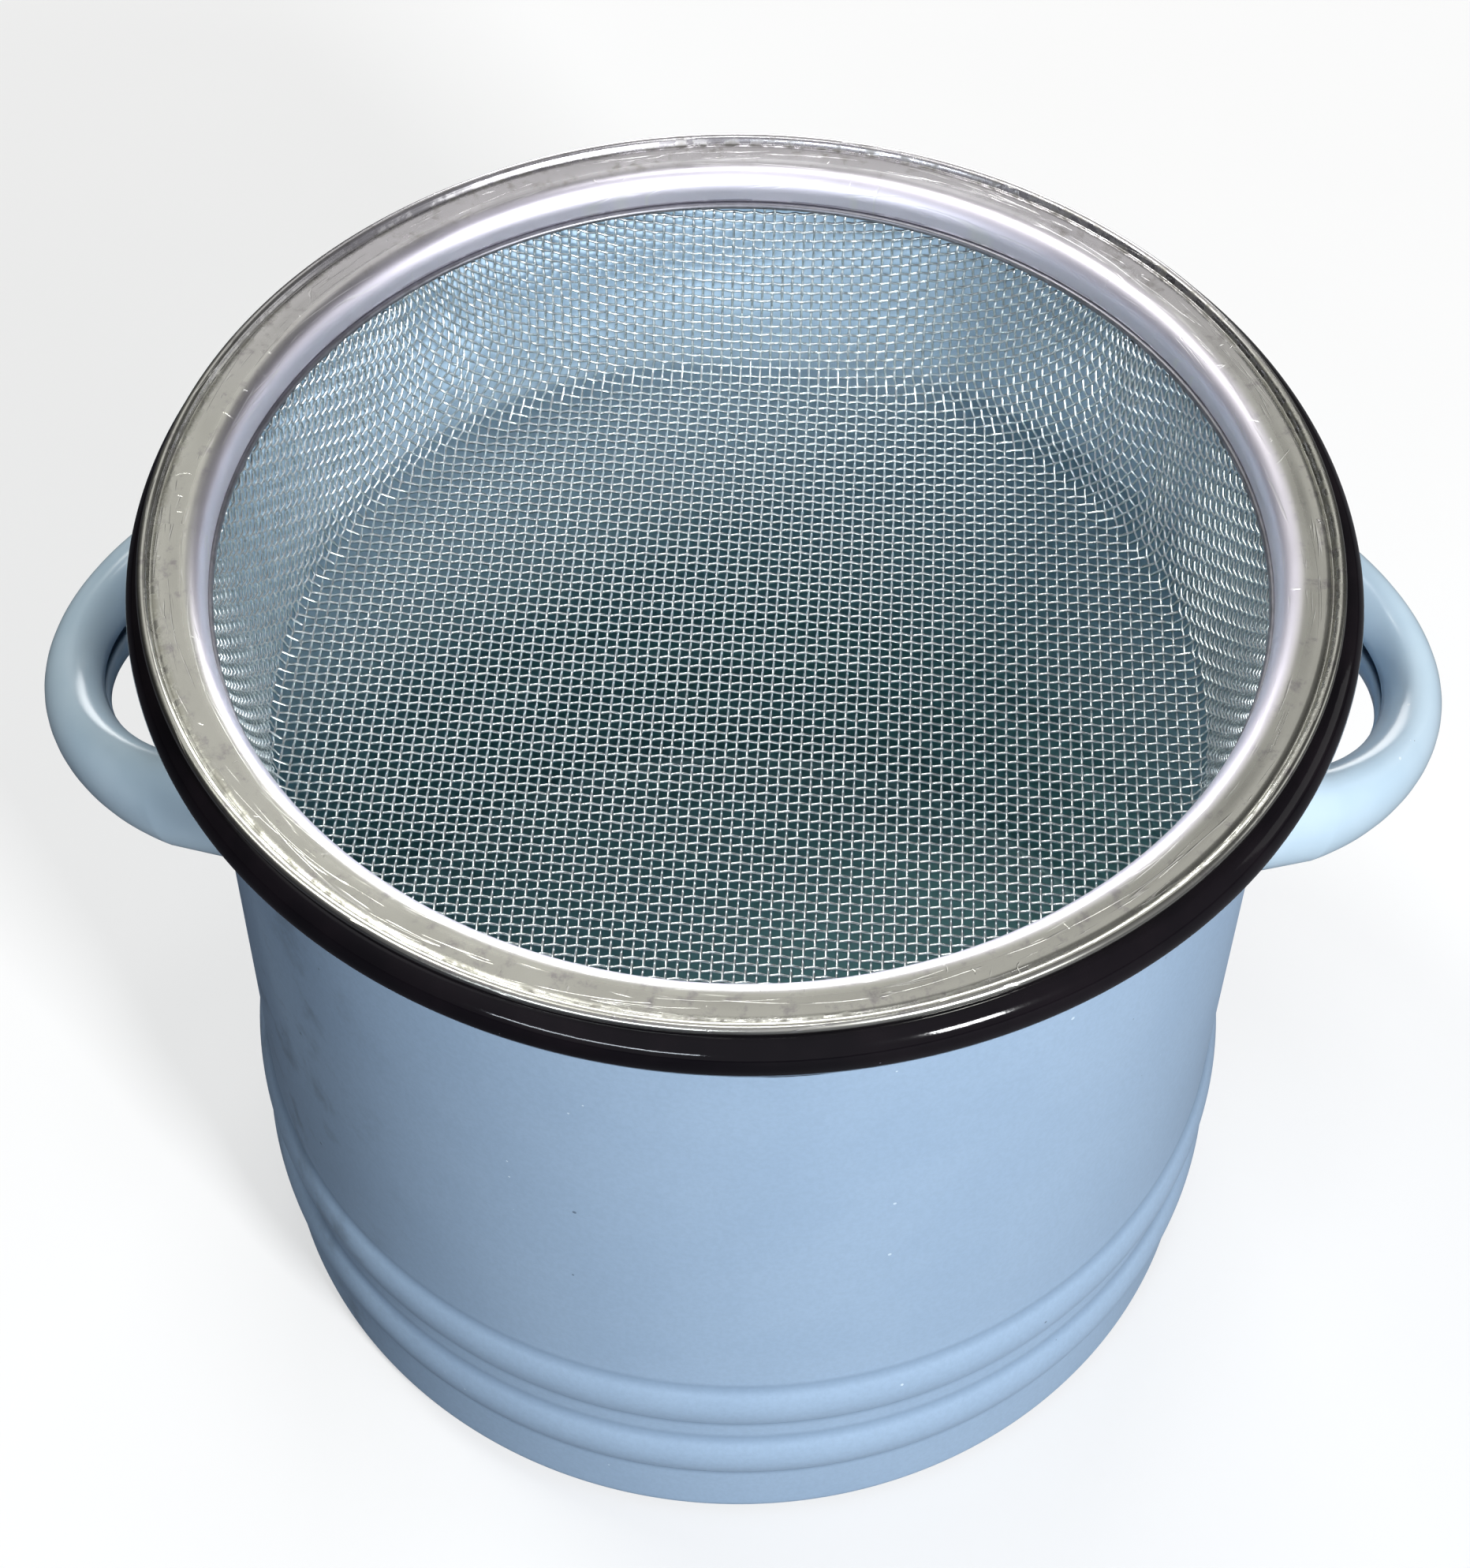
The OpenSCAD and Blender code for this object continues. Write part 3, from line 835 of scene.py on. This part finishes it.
def ring_steel(round_place, hairlines):
    """Pressed steel, polished and then scratched by use, with painted shade in patches along the
    groove by its bead.

    Its front is painted warmer than its back as a painted reflection tint, and its inner edge is
    duller, with a painted pale lilac sheen."""
    material, tree, shader = new_material("ring_steel")
    where = use_group(tree, round_place, {"Radius": 64.0}).outputs
    flat, out = where["Unrolled"], where["Out"]
    cloud = noise(tree, flat, 7.0, 3.0, 0.6)
    front = between(tree, parts_of(tree, object_place(tree))[1], 52.0, 10.0)

    # Turn, length, spread, width and amount of each set of scratches.
    sets = ((0.05, 14.0, 0.5, 0.03, 0.55), (-0.04, 20.0, 0.8, 0.03, 0.5),
            (1.45, 2.6, 1.3, 0.018, 0.3), (0.9, 5.0, 1.6, 0.016, 0.2),
            (-0.8, 6.0, 1.9, 0.014, 0.2))
    names = ("Turn", "Length", "Spread", "Width", "Amount")
    marks = folded(tree, "MAXIMUM", [
        use_group(tree, hairlines, {"Vector": flat, **dict(zip(names, one))}).outputs["Mask"]
        for one in sets])

    # Painted shade: the steel is darkened in patches along the groove.
    from_groove = maths(tree, "ABSOLUTE", maths(tree, "SUBTRACT", out, GROOVE_R))
    groove_shade = maths(tree, "MULTIPLY", between(tree, from_groove, 0.9, 0.05),
                  between(tree, noise(tree, flat, 1.6, 3.0, 0.6), 0.42, 0.62))

    # Painted reflection tint: the front's steel is warmer than the back's.
    bright = mix_colour(tree, front, rgb(0.64, 0.625, 0.65), rgb(0.63, 0.63, 0.575))
    dull = mix_colour(tree, front, rgb(0.54, 0.53, 0.55), rgb(0.535, 0.535, 0.48))
    steel = mix_colour(tree, cloud, dull, bright)
    worn = between(tree, noise(tree, flat, 2.2, 4.0, 0.65), 0.52, 0.74)
    steel = mix_colour(tree, worn, steel, rgb(0.42, 0.405, 0.40))
    # Painted sheen: the roll-down and collar are painted a pale lilac.
    inner_edge_sheen = between(tree, out, 62.6, 61.0)
    steel = mix_colour(tree, inner_edge_sheen, steel, rgb(0.84, 0.81, 0.90))
    steel = mix_colour(tree, maths(tree, "MULTIPLY", marks, 0.45), steel, rgb(0.86, 0.86, 0.84))
    steel = mix_colour(tree, maths(tree, "MULTIPLY", groove_shade, 0.7), steel, rgb(0.13, 0.125, 0.105))

    rough = 0.17
    for share, amount in ((cloud, 0.10), (between(tree, out, 63.4, 62.4), 0.10),
                          (between(tree, out, 61.7, 60.4), 0.18), (groove_shade, 0.25)):
        rough = maths(tree, "MULTIPLY_ADD", share, amount, rough)
    height = maths(tree, "MULTIPLY_ADD", cloud, 0.02, maths(tree, "MULTIPLY", marks, -0.012))
    fill(tree, shader, {"Base Color": steel, "Roughness": rough,
                        "Normal": bump(tree, height), "Metallic": 1.0})
    return material


def hoop_steel(round_place):
    material, tree, shader = new_material("hoop_steel")
    where = use_group(tree, round_place, {"Radius": 60.0}).outputs
    cloud = noise(tree, where["Unrolled"], 1.2, 3.0, 0.6)
    # Painted shade: the hoop's steel is darker than the ring's, for the shade it sits in under
    # the roll.
    colour = mix_colour(tree, cloud, rgb(0.16, 0.16, 0.18), rgb(0.32, 0.32, 0.35))
    fill(tree, shader, {"Base Color": colour, "Metallic": 1.0,
                        "Roughness": maths(tree, "MULTIPLY_ADD", cloud, 0.25, 0.3)})
    return material


def wire_steel():
    material, tree, shader = new_material("wire_steel")
    cloud = noise(tree, object_place(tree), 3.0, 2.0, 0.6)
    colour = mix_colour(tree, cloud, rgb(0.66, 0.72, 0.74), rgb(0.80, 0.84, 0.84))
    fill(tree, shader, {"Base Color": colour, "Metallic": 1.0,
                        "Roughness": maths(tree, "MULTIPLY_ADD", cloud, 0.08, 0.22)})
    return material


# ---------- the stage ----------


def seen_directly(tree):
    """Whether a ray comes from the camera, a gloss or a clear piece, and from the camera."""
    rays = put(tree, "ShaderNodeLightPath").outputs
    seen = folded(tree, "MAXIMUM", [rays["Is Camera Ray"], rays["Is Glossy Ray"],
                                    rays["Is Transmission Ray"]])
    return seen, rays["Is Camera Ray"]


def pale_table():
    """A table that looks white from the camera, and whiter still far out.

    Glosses see it dark, darkest on the left, and it sends little light back up."""
    material, tree, shader = new_material("pale_table")
    seen, camera = seen_directly(tree)
    place = object_place(tree)
    across = parts_of(tree, place)[0]
    cloud = noise(tree, place, 60.0, 2.0, 0.5)
    pale = mix_colour(tree, cloud, rgb(0.42, 0.42, 0.42), rgb(0.44, 0.44, 0.44))
    mirrored = mix_colour(tree, between(tree, across, -60.0, 60.0),
                          rgb(0.05, 0.05, 0.06), rgb(0.14, 0.14, 0.15))
    filled = mix_colour(tree, seen, rgb(0.10, 0.10, 0.10), mirrored)
    away = put(tree, "ShaderNodeVectorMath", {0: place}, operation="LENGTH").outputs["Value"]
    glow = between(tree, away, 250.0, 1500.0, 0.525, 1.0)
    fill(tree, shader, {"Base Color": mix_colour(tree, camera, filled, pale),
                        "Emission Color": rgb(1, 1, 1),
                        "Emission Strength": maths(tree, "MULTIPLY", camera, glow),
                        "Roughness": 0.6, "Specular IOR Level": 0.0})
    return material


def make_stage():
    half = 4.0
    corners = [(-half, -half, 0), (half, -half, 0), (half, half, 0), (-half, half, 0)]
    mesh = bpy.data.meshes.new("table_top")
    mesh.from_pydata(corners, [], [(0, 1, 2, 3)])
    mesh.materials.append(pale_table())
    table = bpy.data.objects.new("table_top", mesh)
    bpy.context.scene.collection.objects.link(table)


def make_world():
    """White to the camera, dim as fill light, and a room in the reflections.

    The room is lighter in front than behind, darker at both sides, and has two bright
    patches: one high over the pot to the left, and one behind it."""
    world = bpy.data.worlds.new("studio")
    bpy.context.scene.world = world
    world.use_nodes = True
    tree = world.node_tree
    tree.nodes.clear()
    seen, camera = seen_directly(tree)
    direction = put(tree, "ShaderNodeTexCoord").outputs["Generated"]
    across, backwards, _ = parts_of(tree, direction)

    def patch(middle, edge, core, strength):
        towards = put(tree, "ShaderNodeVectorMath", {0: direction, 1: middle},
                      operation="DOT_PRODUCT")
        return between(tree, towards.outputs["Value"], edge, core, 0.0, strength)

    behind = between(tree, backwards, -0.2, 0.35)
    sides = maths(tree, "MULTIPLY", between(tree, across, -0.95, -0.3, 0.15, 1.0),
                  between(tree, across, 0.1, 0.7, 1.0, 0.5))
    room = folded(tree, "MAXIMUM", [
        maths(tree, "MULTIPLY", mix_number(tree, behind, 0.42, 0.16), sides),
        patch((-0.37, 0.18, 0.91), 0.92, 0.97, 1.0),
        patch((-0.04, 0.66, 0.75), 0.94, 0.98, 0.72)])
    strength = mix_number(tree, seen, 0.065, mix_number(tree, camera, room, 1.0))
    tint = mix_colour(tree, behind, rgb(0.95, 0.93, 1.0), rgb(1.0, 0.985, 0.97))
    tint = mix_colour(tree, camera, tint, rgb(1, 1, 1))
    background = put(tree, "ShaderNodeBackground", {"Color": tint, "Strength": strength})
    put(tree, "ShaderNodeOutputWorld", {"Surface": background.outputs[0]})


def softbox(name, turn, rise, away, size, watts, colour=(1, 1, 1)):
    """A soft lamp aimed at the pot. Its place is turned from the front towards the right.

    Turn and rise are in degrees, the distance and the size in metres."""
    light = bpy.data.lights.new(name, "AREA")
    light.shape = "RECTANGLE"
    light.size, light.size_y = size
    light.energy = watts
    light.color = colour
    lamp = bpy.data.objects.new(name, light)
    bpy.context.scene.collection.objects.link(lamp)
    turn, rise = math.radians(turn), math.radians(rise)
    level = math.cos(rise)
    heading = Vector((math.sin(turn) * level, -math.cos(turn) * level, math.sin(rise)))
    lamp.location = heading * away + Vector((0, 0, 0.08))
    lamp.rotation_mode = "QUATERNION"
    lamp.rotation_quaternion = (-heading).to_track_quat("-Z", "Y")


def make_lights():
    """A key and a strip from the front, small ones above, and wide ones right and behind."""
    softbox("key", 35, 28, 1.0, (0.17, 0.17), 10.4, (0.97, 0.985, 1.0))
    softbox("front_left_strip", -21, 18, 0.95, (0.5, 0.045), 2.7, (0.84, 0.92, 1.0))
    softbox("right_fill", 100, 18, 0.95, (0.5, 0.35), 0.4)
    softbox("overhead", 20, 88, 0.95, (0.16, 0.16), 0.75)
    softbox("upper_left", -116, 66, 0.95, (0.14, 0.14), 2.5, (1.0, 1.0, 0.93))
    softbox("back_fill", 176, 15, 0.95, (0.6, 0.4), 5.2)


def make_camera():
    """The camera of the photograph: a long lens looking down on the pot from its front."""
    right = (0.999903, 0.010946, 0.008589)
    up = (-0.013914, 0.786653, 0.617238)
    ahead = (0.0, 0.61730, -0.78673)
    place = (-0.816 * MM, -237.608 * MM, 375.136 * MM)
    data = bpy.data.cameras.new("view")
    data.sensor_width = 36.0
    data.lens = 71.69
    data.clip_start, data.clip_end = 0.02, 20.0
    camera = bpy.data.objects.new("view", data)
    bpy.context.scene.collection.objects.link(camera)
    rows = [(right[i], up[i], -ahead[i], place[i]) for i in range(3)]
    camera.matrix_world = Matrix(rows + [(0, 0, 0, 1)])
    bpy.context.scene.camera = camera


# ---------- putting it together ----------


def main():
    bpy.context.scene.view_settings.view_transform = "Standard"
    round_place, skin, hairlines = round_place_group(), enamel_skin_group(), hairline_group()
    make_pot(pot_enamel(round_place, skin, black_coat_group(round_place)), rim_enamel(skin))
    strap = handle_enamel(skin)
    make_handle("left_strap", "left_handle", -1, strap)
    make_handle("right_strap", "right_handle", 1, strap)
    make_ring(ring_steel(round_place, hairlines))
    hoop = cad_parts["cloth_hoop"]
    hoop.data.materials.clear()
    hoop.data.materials.append(hoop_steel(round_place))
    make_cloth(wire_steel())
    make_stage()
    make_world()
    make_lights()
    make_camera()


main()
